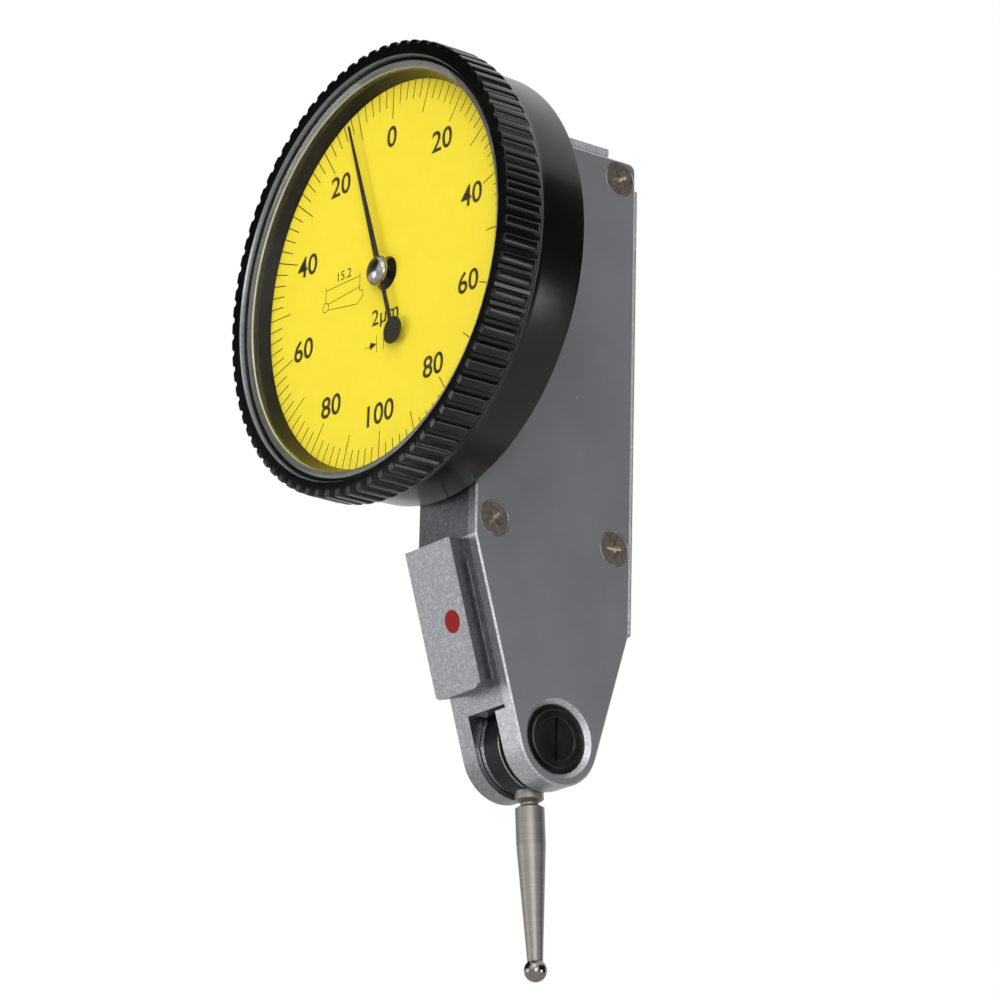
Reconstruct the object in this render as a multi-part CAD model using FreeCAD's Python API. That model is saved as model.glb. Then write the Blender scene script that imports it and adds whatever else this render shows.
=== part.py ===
import FreeCAD, Part
import math
import os

# Lever-type dial test indicator, 0.002 mm divisions, one pointer turn per 0.2 mm.
# Millimetres, +Z up.  The dial faces -Y and the stylus points down.  The origin lies on the
# outer face of the back dovetail rail, at the height of the dial axis, on the mid-plane X = 0.

V = FreeCAD.Vector
X_AXIS = V(1, 0, 0)
Y_AXIS = V(0, 1, 0)
Z_AXIS = V(0, 0, 1)

# ---------------------------------------------------------------- driving dimensions: body
BODY_HALF = 4.1            # half the body's thickness, cover plate included
COVER_T = 1.1              # side cover plate
COVER_IN = BODY_HALF - COVER_T
WALL = 1.3                 # casting wall round the movement
FLOOR_X = -3.1             # inner face of the casting's closed side
Y_BACK = -1.1              # back face of body and cover
Y_NECK = -17.65            # front face of the body, where the dial case is screwed on
Z_TOP = 14.8               # top face of body and cover
CORNER_R = 0.7
EDGE_BREAK = 0.15
SEAM_STEP = 0.15           # machining step down the front of the neck, on the mid-plane
SEAM_LOW = -21.9

PIVOT = V(0, -8.4, -38.95)  # axis of stylus and lever, parallel to X
EAR_R = 4.15
FRONT_SLANT = math.radians(16.84)
BACK_SLANT = math.radians(16.0)

# fork
GAP_L = -2.05              # inner face of the far ear
GAP_R = 1.6                # inner face of the near ear, which belongs to the cover
ROOF_Z = -36.7             # lower edge of the casting above the fork
EAR_TOP_Z = -37.0          # top of the cover's own ear
GAP_R_ROUND = 4.35         # rounded hollow that the holder turns in

# dovetail rails
RAIL_W = 6.3
RAIL_FLANK = math.radians(30.0)
RAIL_BREAK = 0.2
FRONT_RAIL_H = 2.26
FRONT_RAIL_L = 12.9
BACK_RAIL_H = -Y_BACK
BACK_RAIL_TOP = 13.05
BACK_RAIL_BOTTOM = -28.1
TOP_RAIL_H = 1.3
TOP_RAIL_BACK = -3.1
SHELF_DEPTH = 0.5          # shelves beside the back and top rails
RAIL_ROUND = 0.6           # plan corners of the back and top rails
FRONT_RAIL_ROUND = 0.9
RAIL_SINK = 0.3            # how far the front rail's root reaches into the casting
GROOVE_START = 1.8         # run-out grooves beside the front rail's root
GROOVE_END = 0.6
GROOVE_W = 0.5
GROOVE_DEPTH = 0.3
DOT_R = 1.0                # red mark on the front rail
DOT_DEPTH = 0.25
DOT_DOWN = 6.9
DOT_X = 1.35

# screws
COVER_SCREWS = [(-2.8, 13.1), (-15.65, 13.1), (-15.65, -21.0), (-2.8, -21.0)]
SCREW_HEAD_R = 1.55
SCREW_HEAD_X = BODY_HALF - 0.05   # head just below the cover's face
SCREW_CONE = 0.75          # depth of the countersunk cone
SCREW_END = COVER_IN - 2.9
SCREW_R = 0.8
SCREW_CLEAR = 0.06
RECESS_ARM = 0.75          # half length, half width and depth of the cross recess
RECESS_HALF_W = 0.16
RECESS_DEPTH = 0.5
BOSS_R = 1.9

# pivot bearings and their caps
CAP_R = 2.6
CAP_HOLE_R = 3.05
CAP_CHAMFER = 0.4
CAP_OUT = 3.85
CAP_IN = 3.05
BEARING_R = 2.2
BEARING_OUT = 3.0
BEARING_IN = 2.2
SHAFT_PIVOT_R = 0.75
SHAFT_R = 1.5
FIT = 0.02                 # radial clearance of the running fits

# lever, clutch and stylus holder, along X
LEVER_X0 = -1.95
LEVER_X1 = -1.40
LEVER_END_R = 3.66
LEVER_NECK = 3.75          # half width where the hub end passes into the arm
LEVER_TRAVEL = math.radians(0.33)
HOLDER_X0 = -1.35
HOLDER_X1 = 0.85
HOLDER_R = 3.95
HOLDER_FLAT = 3.72
WASHER_X0 = 0.88
WASHER_X1 = 1.03
WASHER_R = 4.05
NUT_X1 = 1.45
NUT_GAP = 0.03
NUT_R = 2.6
STYLUS_X = (HOLDER_X0 + HOLDER_X1) / 2

# stylus: distances from the pivot axis
STYLUS_TILT = 3.9
STYLUS_LEN = 19.10         # pivot to ball centre: 0.2 mm at the ball turns the pointer once
BALL_R = 1.0
THREAD_R = 0.7
COLLAR_R = 1.22
NECK_R = 0.76
SHANK_R = 1.25
TIP_R = 0.66

# ---------------------------------------------------------------- driving dimensions: dial
Y_FRONT = -27.0            # front plane of the bezel
FLUTES = 80
FLUTE_R = 20.0
FLUTE_ROOT_R = 18.9
FLUTE_L = 3.8
FLUTE_PROFILE = [(0.16, FLUTE_ROOT_R), (0.18, FLUTE_R - 0.45), (0.23, FLUTE_R - 0.16),
                 (0.4, FLUTE_R + 0.05)]      # half width and radius of a groove
SKIRT_R = 19.1
SKIRT_END_R = 18.9
BEZEL_L = 9.0
BORE_R = 18.2
LEDGE_R = 17.85
CRYSTAL_R = 18.45
CRYSTAL_Y = 0.4            # depth of the crystal's front face below the bezel's front
CRYSTAL_T = 0.65
SEAL_T = 0.15
DIAL_Y = 2.26
DIAL_T = 0.4
CASE_R = BORE_R - 0.06
CASE_FRONT = 2.9
CASE_BACK = 8.9
CASE_FLOOR = 1.5
CASE_WALL = 1.4
WIRE_R = 0.28
WIRE_Y = 7.3
WIRE_GROOVE = 0.34         # half width of the grooves for the snap wire
WIRE_CENTRE_R = BORE_R - 0.12
CASE_SCREW_Z = 8.0
CASE_HEAD_R = 1.45
CASE_HEAD_H = 0.8
PAD_HALF_X = BODY_HALF - 0.3
PAD_HALF_Z = 12.5

# pointer
POINTER_ANGLE = -19.5      # rest position, degrees clockwise from twelve o'clock
POINTER_TIP = 15.85
POINTER_TAIL = 6.25
POINTER_DISC_R = 1.2
POINTER_Y = 1.5
POINTER_T = 0.12
HUB_HOLE_R = 0.62
ARBOR_R = 0.4

# ---------------------------------------------------------------- driving dimensions: gears
M1 = 0.15                  # sector and its pinion
SECTOR_R = 38.4
PINION_TEETH = 8
M2 = 0.14                  # crown gear and pointer pinion
CROWN_TEETH = 75
CROWN_X_PITCH = -PINION_TEETH * M2 / 2
ADDENDUM = 0.8
DEDENDUM = 1.15
PIVOT_PIN_R = 0.2
CROWN_R = CROWN_TEETH * M2 / 2
CENTRE_1 = SECTOR_R + PINION_TEETH * M1 / 2
CROWN_Y = PIVOT.y - math.sqrt(CENTRE_1 ** 2 - PIVOT.z ** 2)
POINTER_PINION_Y = CROWN_Y - CROWN_R
BRIDGE_X0 = 1.7
BRIDGE_X1 = 2.3
COLLET_R = 0.8
STUD_R = 0.35
STUD_REACH = 3.0           # stud from the crown gear's axis
HAIRSPRING_HALVES = 10
STUD = (CROWN_Y + STUD_REACH, 0.0)
POST_Y = -4.3
POST_Z = 5.4
POST_R = 1.2
JEWEL_R = 0.6
JEWEL_T = 0.45
COCK_Y0 = POINTER_PINION_Y + 0.55   # foot that carries the pointer arbor's rear jewel
COCK_Y1 = COCK_Y0 + 0.7

# lever stops and spring
STOP_Z = -8.0
STOP_R = 0.4
STOP_PLAY = 0.06
ARM_HALF_AT_STOP = 0.98
SPRING_POST_Y = -5.2
SPRING_POST_Z = -27.5
SPRING_WIRE_R = 0.13
SPRING_COILS = 3
SPRING_GAP = 0.25          # spring shown just clear of the arm


# ---------------------------------------------------------------- small helpers
def cyl_x(y, z, r, x0, x1):
    return Part.makeCylinder(r, x1 - x0, V(x0, y, z), X_AXIS)


def cyl_y(x, z, r, y0, y1):
    return Part.makeCylinder(r, y1 - y0, V(x, y0, z), Y_AXIS)


def block(x0, x1, y0, y1, z0, z1):
    return Part.makeBox(x1 - x0, y1 - y0, z1 - z0, V(x0, y0, z0))


def prism_x(points, x0, x1):
    """Closed (y, z) polygon extruded from x0 to x1."""
    loop = [V(x0, y, z) for y, z in points]
    return Part.Face(Part.makePolygon(loop + loop[:1])).extrude(V(x1 - x0, 0, 0))


def turned_y(profile):
    """Closed (radius, y) polygon turned about the Y axis."""
    loop = [V(r, y, 0) for r, y in profile]
    return Part.Face(Part.makePolygon(loop + loop[:1])).revolve(V(0, 0, 0), Y_AXIS, 360)


def turned_x(profile, y, z):
    """Closed (radius, x) polygon turned about an axis parallel to X through y, z."""
    loop = [V(x, y + r, z) for r, x in profile]
    return Part.Face(Part.makePolygon(loop + loop[:1])).revolve(V(0, y, z), X_AXIS, 360)


def depth(d):
    """Y of a plane d behind the bezel's front."""
    return Y_FRONT + d


# ---------------------------------------------------------------- body outline
def tangent_point(radius, slant, side):
    """Where a flank that leans by slant touches a round end of this radius; side -1 is the front."""
    return V(0, PIVOT.y + side * radius * math.cos(slant), PIVOT.z - radius * math.sin(slant))


def up_the_flank(start, slant, side, y):
    """Follow the leaning flank up from start until it reaches y."""
    run = (y - start.y) / (side * math.sin(slant))
    return V(0, y, start.z + run * math.cos(slant))


def body_outline():
    """Side view of body and cover: upright block, tapering neck, round fork end."""
    front_low = tangent_point(EAR_R, FRONT_SLANT, -1)
    front_bend = up_the_flank(front_low, FRONT_SLANT, -1, Y_NECK)
    back_low = tangent_point(EAR_R, BACK_SLANT, 1)
    back_bend = up_the_flank(back_low, BACK_SLANT, 1, Y_BACK)
    front_top = V(0, Y_NECK, Z_TOP)
    corner_a = V(0, Y_BACK - CORNER_R, Z_TOP)
    corner_b = V(0, Y_BACK, Z_TOP - CORNER_R)
    reach = CORNER_R * math.sqrt(0.5)
    corner_m = V(0, Y_BACK - CORNER_R + reach, Z_TOP - CORNER_R + reach)
    bottom = V(0, PIVOT.y, PIVOT.z - EAR_R)
    return Part.Wire([
        Part.makeLine(front_bend, front_top),
        Part.makeLine(front_top, corner_a),
        Part.Arc(corner_a, corner_m, corner_b).toShape(),
        Part.makeLine(corner_b, back_bend),
        Part.makeLine(back_bend, back_low),
        Part.Arc(back_low, bottom, front_low).toShape(),
        Part.makeLine(front_low, front_bend)])


def front_flank():
    """Upper end of the slanted front face, its way down and its outward normal."""
    bend = up_the_flank(tangent_point(EAR_R, FRONT_SLANT, -1), FRONT_SLANT, -1, Y_NECK)
    down = V(0, math.sin(FRONT_SLANT), -math.cos(FRONT_SLANT))
    out = V(0, -math.cos(FRONT_SLANT), -math.sin(FRONT_SLANT))
    return bend, down, out


def outline_solid(x0, x1):
    face = Part.Face(body_outline())
    face.translate(V(x0, 0, 0))
    return face.extrude(V(x1 - x0, 0, 0))


def broken_edges(solid, x):
    """Chamfer the outer rim that lies in the plane of this X."""
    rim = [e for e in solid.Edges if all(abs(v.X - x) < 1e-6 for v in e.Vertexes)]
    return solid.makeChamfer(EDGE_BREAK, rim)


# ---------------------------------------------------------------- dovetail rails
def dovetail_profile(height, sink):
    """(across, out) points of a rail that widens away from the body."""
    half = RAIL_W / 2
    root = half - (height + sink) * math.tan(RAIL_FLANK)
    lip = half - RAIL_BREAK * math.tan(RAIL_FLANK)
    return [(-root, -sink), (-lip, height - RAIL_BREAK), (-half + RAIL_BREAK, height),
            (half - RAIL_BREAK, height), (lip, height - RAIL_BREAK), (root, -sink)]


def rail(start, along, out, height, sink, length, round_start, round_end):
    """Rail with rounded plan corners; start is its end on the body's face, on the mid-plane."""
    loop = [start + X_AXIS * a + out * h for a, h in dovetail_profile(height, sink)]
    bar = Part.Face(Part.makePolygon(loop + loop[:1])).extrude(along * length)
    half = RAIL_W / 2
    low = start - out * (sink + 1)
    plan = Part.Face(Part.makePolygon([
        low - X_AXIS * half, low + X_AXIS * half,
        low + X_AXIS * half + along * length, low - X_AXIS * half + along * length,
        low - X_AXIS * half])).extrude(out * (height + sink + 2))
    for at, radius in ((0.0, round_start), (length, round_end)):
        if radius > 0:
            corners = [e for e in plan.Edges
                       if abs(e.Length - (height + sink + 2)) < 1e-6
                       and abs((e.Vertexes[0].Point - low).dot(along) - at) < 1e-6]
            plan = plan.makeFillet(radius, corners)
    return bar.common(plan)


def front_rail():
    bend, down, out = front_flank()
    return rail(bend, down, out, FRONT_RAIL_H, RAIL_SINK, FRONT_RAIL_L, 0.0, FRONT_RAIL_ROUND)


def back_rail():
    start = V(0, Y_BACK, BACK_RAIL_TOP)
    length = BACK_RAIL_TOP - BACK_RAIL_BOTTOM
    return rail(start, -Z_AXIS, Y_AXIS, BACK_RAIL_H, SHELF_DEPTH, length, RAIL_ROUND, RAIL_ROUND)


def top_rail():
    start = V(0, TOP_RAIL_BACK, Z_TOP)
    length = TOP_RAIL_BACK - Y_NECK - 0.05
    return rail(start, -Y_AXIS, Z_AXIS, TOP_RAIL_H, SHELF_DEPTH, length, RAIL_ROUND, 0.0)


def shelves():
    """Cuts beside the back and top rails, between the rail's root and the two side walls."""
    half = RAIL_W / 2
    cuts = []
    for side in (-1, 1):
        x0, x1 = sorted((side * (half - 1.4), side * COVER_IN))
        cuts.append(block(x0, x1, Y_BACK - SHELF_DEPTH, Y_BACK + 1, BACK_RAIL_BOTTOM, BACK_RAIL_TOP))
        cuts.append(block(x0, x1, Y_NECK - 1, TOP_RAIL_BACK, Z_TOP - SHELF_DEPTH, Z_TOP + 1))
    return cuts


def relief_grooves():
    """Narrow run-out grooves at the roots of the front rail."""
    bend, down, out = front_flank()
    root = RAIL_W / 2 - FRONT_RAIL_H * math.tan(RAIL_FLANK)
    length = FRONT_RAIL_L - GROOVE_START - GROOVE_END
    cuts = []
    for side in (-1, 1):
        middle = X_AXIS * (side * (root + GROOVE_W / 2))
        start = bend + down * GROOVE_START + middle - out * GROOVE_DEPTH
        half = X_AXIS * (GROOVE_W / 2)
        ring = [start - half, start + half, start + half + down * length, start - half + down * length]
        cuts.append(Part.Face(Part.makePolygon(ring + ring[:1])).extrude(out * (GROOVE_DEPTH + 0.3)))
    return cuts


# ---------------------------------------------------------------- body casting
def cavity():
    """Room for the movement, open towards the cover."""
    inner = Part.Face(body_outline()).makeOffset2D(-WALL)
    inner.translate(V(FLOOR_X, 0, 0))
    room = inner.extrude(V(COVER_IN - FLOOR_X + 1, 0, 0))
    room = room.cut(block(-5, 5, -20, 1, -50, -33.5))
    for y, z in COVER_SCREWS:
        room = room.cut(cyl_x(y, z, BOSS_R, FLOOR_X - 1, COVER_IN + 1))
    for side in (-1, 1):
        room = room.cut(cyl_x(POST_Y, side * POST_Z, POST_R, FLOOR_X - 1, BRIDGE_X0))
        room = room.cut(block(-1.6, 1.6, Y_NECK, Y_NECK + 2.8,
                              side * CASE_SCREW_Z - 1.6, side * CASE_SCREW_Z + 1.6))
    return room


def lever_slot():
    """Way from the movement's room into the fork for the lever's plate."""
    return prism_x([(-12.85, -37.2), (-12.75, -36.6), (-11.4, -35.3), (-10.9, -33.0),
                    (-6.2, -33.0), (-5.6, -35.3), (-4.3, -36.6), (-4.2, -37.2)],
                   GAP_L, LEVER_X1 + 0.1)


def pivot_bore(side, inner_face):
    """Stepped bore in an ear: cap, bearing and shaft, with a chamfered mouth."""
    steps = [(0, side * BODY_HALF), (CAP_HOLE_R + CAP_CHAMFER, side * BODY_HALF),
             (CAP_HOLE_R, side * (BODY_HALF - CAP_CHAMFER)), (CAP_HOLE_R, side * CAP_IN),
             (BEARING_R, side * CAP_IN), (BEARING_R, side * BEARING_IN),
             (SHAFT_R + 0.3, side * BEARING_IN), (SHAFT_R + 0.3, inner_face), (0, inner_face)]
    return turned_x(steps, PIVOT.y, PIVOT.z)


def body_casting():
    body = broken_edges(outline_solid(-BODY_HALF, COVER_IN), -BODY_HALF)
    body = body.cut(block(0, COVER_IN + 1, Y_NECK - 1, Y_NECK + SEAM_STEP, SEAM_LOW, -PAD_HALF_Z))
    body = body.cut(shelves())
    body = body.fuse([front_rail(), back_rail(), top_rail()])
    body = body.cut([cavity(), lever_slot()])
    body = body.cut(block(GAP_L, COVER_IN + 1, -20, 1, -45, ROOF_Z))
    body = body.cut(cyl_x(PIVOT.y, PIVOT.z, GAP_R_ROUND, GAP_L, GAP_R))
    body = body.cut(relief_grooves())
    body = body.cut(pivot_bore(-1, GAP_L + 0.1))
    holes = [cyl_y(0, 0, 1.6, Y_NECK - 1, Y_NECK + 2)]
    holes.append(cyl_x(CROWN_Y, 0, JEWEL_R, FLOOR_X - JEWEL_T, FLOOR_X + 1))
    for y, z in COVER_SCREWS:
        holes.append(cyl_x(y, z, SCREW_R, COVER_IN - 3.2, COVER_IN + 1))
    for side in (-1, 1):
        holes.append(cyl_y(0, side * CASE_SCREW_Z, SCREW_R, Y_NECK - 1, Y_NECK + 2.2))
        holes.append(cyl_x(POST_Y, side * POST_Z, 0.5, BRIDGE_X0 - 2.5, BRIDGE_X0 + 1))
        holes.append(cyl_x(stop_y(side), STOP_Z, STOP_R, FLOOR_X - 0.5, FLOOR_X + 1))
    holes.append(cyl_x(SPRING_POST_Y, SPRING_POST_Z, STOP_R, FLOOR_X - 0.5, FLOOR_X + 1))
    holes.append(red_dot())
    body = body.cut(holes)
    return body.removeSplitter()


# ---------------------------------------------------------------- cover
def side_cover():
    """Flat cover plate that carries the near ear of the fork."""
    plate = outline_solid(COVER_IN, BODY_HALF)
    ear = outline_solid(GAP_R, COVER_IN).cut(block(0, 5, -20, 1, EAR_TOP_Z, Z_TOP + 1))
    plate = broken_edges(plate, BODY_HALF).fuse(ear)
    cuts = [pivot_bore(1, GAP_R - 0.1)]
    mouth = SCREW_HEAD_R + SCREW_CLEAR
    shank = SCREW_R + SCREW_CLEAR
    lip = SCREW_HEAD_X - 0.1
    for y, z in COVER_SCREWS:
        cuts.append(turned_x([(0, BODY_HALF + 1), (mouth, BODY_HALF + 1), (mouth, lip),
                              (shank, lip - SCREW_CONE), (shank, COVER_IN - 1), (0, COVER_IN - 1)], y, z))
    return plate.cut(cuts).removeSplitter()


def cross_recess(y, z, turn):
    x0 = SCREW_HEAD_X - RECESS_DEPTH
    x1 = SCREW_HEAD_X + 1
    cross = block(x0, x1, y - RECESS_ARM, y + RECESS_ARM, z - RECESS_HALF_W, z + RECESS_HALF_W)
    cross = cross.fuse(block(x0, x1, y - RECESS_HALF_W, y + RECESS_HALF_W, z - RECESS_ARM, z + RECESS_ARM))
    cross.rotate(V(0, y, z), X_AXIS, turn)
    return cross


def cover_screws():
    """Countersunk cross-recess screws, each left at its own angle by the last turn."""
    head = SCREW_HEAD_X
    screws = []
    for i, (y, z) in enumerate(COVER_SCREWS):
        screw = turned_x([(0, head), (SCREW_HEAD_R - 0.08, head), (SCREW_HEAD_R, head - 0.1),
                          (SCREW_R - FIT, head - 0.1 - SCREW_CONE), (SCREW_R - FIT, SCREW_END),
                          (0, SCREW_END)], y, z)
        screws.append(screw.cut(cross_recess(y, z, 25 + 55 * i)))
    return Part.makeCompound(screws)


# ---------------------------------------------------------------- pivot bearings
def pivot_bearing_caps():
    caps = []
    for side in (-1, 1):
        cap = turned_x([(0, side * CAP_IN), (CAP_HOLE_R, side * CAP_IN),
                        (CAP_HOLE_R, side * (CAP_IN + 0.4)), (CAP_R, side * (CAP_IN + 0.4)),
                        (CAP_R, side * (CAP_OUT - 0.1)), (CAP_R - 0.12, side * CAP_OUT),
                        (1.95, side * CAP_OUT), (1.85, side * (CAP_OUT - 0.12)),
                        (0, side * (CAP_OUT - 0.22))], PIVOT.y, PIVOT.z)
        x0, x1 = sorted((side * (CAP_OUT - 0.45), side * (CAP_OUT + 0.1)))
        slot = block(x0, x1, PIVOT.y - 0.14, PIVOT.y + 0.14, PIVOT.z - 1.9, PIVOT.z + 1.9)
        caps.append(cap.cut(slot))
    return Part.makeCompound(caps)


def pivot_bearings():
    rings = []
    for side in (-1, 1):
        rings.append(turned_x([(SHAFT_PIVOT_R + FIT, side * BEARING_IN), (BEARING_R, side * BEARING_IN),
                               (BEARING_R, side * (BEARING_OUT + 0.05)),
                               (SHAFT_PIVOT_R + FIT, side * (BEARING_OUT + 0.05))],
                              PIVOT.y, PIVOT.z))
    return Part.makeCompound(rings)


# ---------------------------------------------------------------- lever and clutch
def gear_tooth(radius, module, thin):
    """Half widths and radii of one straight-flanked tooth."""
    pitch = math.pi * module
    return [(-0.32 * pitch, radius - DEDENDUM * module), (-(0.25 - thin) * pitch, radius),
            (-0.11 * pitch, radius + ADDENDUM * module), (0.11 * pitch, radius + ADDENDUM * module),
            ((0.25 - thin) * pitch, radius), (0.32 * pitch, radius - DEDENDUM * module)]


def toothed_loop(radius, module, teeth, first, count):
    """(angle, radius) points of count teeth, the first centred on angle first."""
    points = []
    for i in range(count):
        centre = first + i * 2 * math.pi / teeth
        for offset, r in gear_tooth(radius, module, 0.03):
            points.append((centre + offset / radius, r))
    return points


def pinion(y, z, x0, x1, module, aim):
    """Pinion on an axis parallel to X, one tooth aimed at the angle aim in the YZ plane."""
    r = PINION_TEETH * module / 2
    loop = toothed_loop(r, module, PINION_TEETH, aim, PINION_TEETH)
    return prism_x([(y + q * math.cos(a), z + q * math.sin(a)) for a, q in loop], x0, x1)


def lever():
    """Flat lever: round hub end in the fork, slim arm, toothed sector under the crown gear."""
    front_low = tangent_point(LEVER_END_R, FRONT_SLANT, -1)
    front_up = up_the_flank(front_low, FRONT_SLANT, -1, PIVOT.y - LEVER_NECK)
    back_low = tangent_point(LEVER_END_R, BACK_SLANT, 1)
    back_up = up_the_flank(back_low, BACK_SLANT, 1, PIVOT.y + LEVER_NECK)
    aim = math.atan2(-PIVOT.z, CROWN_Y - PIVOT.y)
    step = 2 * math.pi / (2 * SECTOR_R / M1)
    teeth = toothed_loop(SECTOR_R, M1, 2 * SECTOR_R / M1, aim - 2.5 * step, 6)
    head = [(PIVOT.y + q * math.cos(a), PIVOT.z + q * math.sin(a)) for a, q in teeth]

    def arm(distance, offset):
        return (PIVOT.y + distance * math.cos(aim) + offset * math.sin(aim),
                PIVOT.z + distance * math.sin(aim) - offset * math.cos(aim))
    sector_root = SECTOR_R - DEDENDUM * M1
    outline = [(front_low.y, front_low.z), (front_up.y, front_up.z), (-11.7, -36.0),
               arm(5.2, -1.45), arm(35.6, -0.75), arm(36.4, -1.75), arm(sector_root, -1.75)]
    outline += head[::-1]
    outline += [arm(sector_root, 1.75), arm(36.4, 1.75), arm(35.6, 0.75), arm(5.2, 1.45),
                (-5.3, -36.0), (back_up.y, back_up.z), (back_low.y, back_low.z)]
    plate = prism_x(outline, LEVER_X0, LEVER_X1)
    plate = plate.fuse(cyl_x(PIVOT.y, PIVOT.z, LEVER_END_R, LEVER_X0, LEVER_X1))
    for d0, d1 in ((8.0, 16.0), (18.0, 26.0)):
        a, b = arm(d0, 0), arm(d1, 0)
        wide = 0.62 - 0.12 * (d0 > 10)
        window = prism_x([arm(d0, -wide), arm(d1, -wide), arm(d1, wide), arm(d0, wide)],
                         LEVER_X0 - 1, LEVER_X1 + 1)
        window = window.fuse([cyl_x(a[0], a[1], wide, LEVER_X0 - 1, LEVER_X1 + 1),
                              cyl_x(b[0], b[1], wide, LEVER_X0 - 1, LEVER_X1 + 1)])
        plate = plate.cut(window)
    return plate.cut(cyl_x(PIVOT.y, PIVOT.z, SHAFT_R, LEVER_X0 - 1, LEVER_X1 + 1)).removeSplitter()


def pivot_shaft():
    """Stepped shaft that carries lever, holder, washer and nut and runs in the two bearings."""
    end = BEARING_OUT - 0.02
    return turned_x([(0, -end), (SHAFT_PIVOT_R, -end), (SHAFT_PIVOT_R, -BEARING_IN + 0.05),
                     (SHAFT_R, -BEARING_IN + 0.05), (SHAFT_R, NUT_X1), (SHAFT_PIVOT_R, NUT_X1),
                     (SHAFT_PIVOT_R, end), (0, end)], PIVOT.y, PIVOT.z)


def stylus_flat():
    """Cutter for the flat that the stylus is screwed against."""
    flat = block(-5, 5, PIVOT.y - 5, PIVOT.y + 5, PIVOT.z - WASHER_R - 1, PIVOT.z - HOLDER_FLAT)
    flat.rotate(PIVOT, X_AXIS, STYLUS_TILT)
    return flat


def clutch_washer():
    """Friction washer that turns with the holder and shares its flat."""
    washer = turned_x([(SHAFT_R + FIT, WASHER_X0), (WASHER_R, WASHER_X0), (WASHER_R, WASHER_X1),
                       (SHAFT_R + FIT, WASHER_X1)], PIVOT.y, PIVOT.z)
    return washer.cut(stylus_flat())


def clutch_nut():
    nut_x0 = WASHER_X1 + NUT_GAP
    ring = turned_x([(SHAFT_R, nut_x0), (NUT_R, nut_x0), (NUT_R, NUT_X1 - 0.1),
                     (NUT_R - 0.1, NUT_X1), (SHAFT_R, NUT_X1)], PIVOT.y, PIVOT.z)
    for k in range(2):
        slot = block(NUT_X1 - 0.2, NUT_X1 + 0.1, PIVOT.y - 3, PIVOT.y + 3, PIVOT.z - 0.2, PIVOT.z + 0.2)
        slot.rotate(PIVOT, X_AXIS, 45 + 90 * k)
        ring = ring.cut(slot)
    return ring


# ---------------------------------------------------------------- stylus
def along_stylus(profile):
    """Closed (radius, distance from pivot) polygon turned about the stylus axis."""
    loop = [V(STYLUS_X + r, PIVOT.y, PIVOT.z - d) for r, d in profile]
    solid = Part.Face(Part.makePolygon(loop + loop[:1])).revolve(
        V(STYLUS_X, PIVOT.y, PIVOT.z), Z_AXIS, 360)
    solid.rotate(PIVOT, X_AXIS, STYLUS_TILT)
    return solid


def ball_centre():
    tilt = math.radians(STYLUS_TILT)
    return V(STYLUS_X, PIVOT.y + STYLUS_LEN * math.sin(tilt), PIVOT.z - STYLUS_LEN * math.cos(tilt))


def stylus_holder():
    """Drum that turns with friction on the pivot shaft and takes the stylus in a radial thread."""
    edge = 0.12
    drum = turned_x([(SHAFT_R + FIT, HOLDER_X0), (HOLDER_R - edge, HOLDER_X0), (HOLDER_R, HOLDER_X0 + edge),
                     (HOLDER_R, HOLDER_X1 - edge), (HOLDER_R - edge, HOLDER_X1),
                     (SHAFT_R + FIT, HOLDER_X1)], PIVOT.y, PIVOT.z)
    thread = along_stylus([(0, SHAFT_R - 0.4), (THREAD_R, SHAFT_R - 0.4),
                           (THREAD_R, HOLDER_R + 1), (0, HOLDER_R + 1)])
    return drum.cut([stylus_flat(), thread])


def contact_stylus():
    """Steel shank: thread, collar, groove, straight part, long taper, cup for the ball."""
    shank = along_stylus([
        (0, 1.9), (THREAD_R, 1.9), (THREAD_R, HOLDER_FLAT), (COLLAR_R, HOLDER_FLAT),
        (COLLAR_R, 4.45), (NECK_R, 4.76), (NECK_R, 4.92), (SHANK_R, 5.2), (SHANK_R, 8.4),
        (TIP_R, 18.45), (0, 18.45)])
    return shank.cut(Part.makeSphere(BALL_R, ball_centre()))


def contact_ball():
    return Part.makeSphere(BALL_R, ball_centre())


# ---------------------------------------------------------------- lever stops and spring
def arm_line(z):
    """Y of the lever's centre line at this height."""
    return PIVOT.y + (CROWN_Y - PIVOT.y) * (z - PIVOT.z) / (0 - PIVOT.z)


def stop_y(side):
    travel = LEVER_TRAVEL * (STOP_Z - PIVOT.z)
    return arm_line(STOP_Z) + side * (ARM_HALF_AT_STOP + travel + STOP_PLAY + STOP_R)


def lever_stops():
    pins = [cyl_x(stop_y(side), STOP_Z, STOP_R, FLOOR_X - 0.5, LEVER_X1 + 0.3) for side in (-1, 1)]
    return Part.makeCompound(pins)


def spring_post():
    return cyl_x(SPRING_POST_Y, SPRING_POST_Z, STOP_R, FLOOR_X - 0.5, LEVER_X1 + 0.5)


def lever_spring():
    """Torsion spring: coils round its post, one leg on the wall, one beside the arm."""
    wire = SPRING_WIRE_R
    pitch = 2 * wire * 0.98
    coil_r = STOP_R + wire + 0.03
    first_x = LEVER_X0 + 0.1
    last_x = first_x + (SPRING_COILS - 1) * pitch
    coils = [Part.makeTorus(coil_r, wire, V(first_x + k * pitch, SPRING_POST_Y, SPRING_POST_Z), X_AXIS)
             for k in range(SPRING_COILS)]
    tip_z = -14.0
    leg_from = V(first_x, SPRING_POST_Y - coil_r, SPRING_POST_Z)
    leg_to = V(first_x, arm_line(tip_z) + 1.25 + SPRING_GAP + wire, tip_z)
    foot_from = V(last_x, SPRING_POST_Y + coil_r, SPRING_POST_Z)
    foot_to = V(last_x, Y_BACK - WALL - wire - 0.02, SPRING_POST_Z + 4)
    legs = [Part.makeCylinder(wire, (b - a).Length, a, b - a)
            for a, b in ((leg_from, leg_to), (foot_from, foot_to))]
    return coils[0].fuse(coils[1:] + legs)


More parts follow.
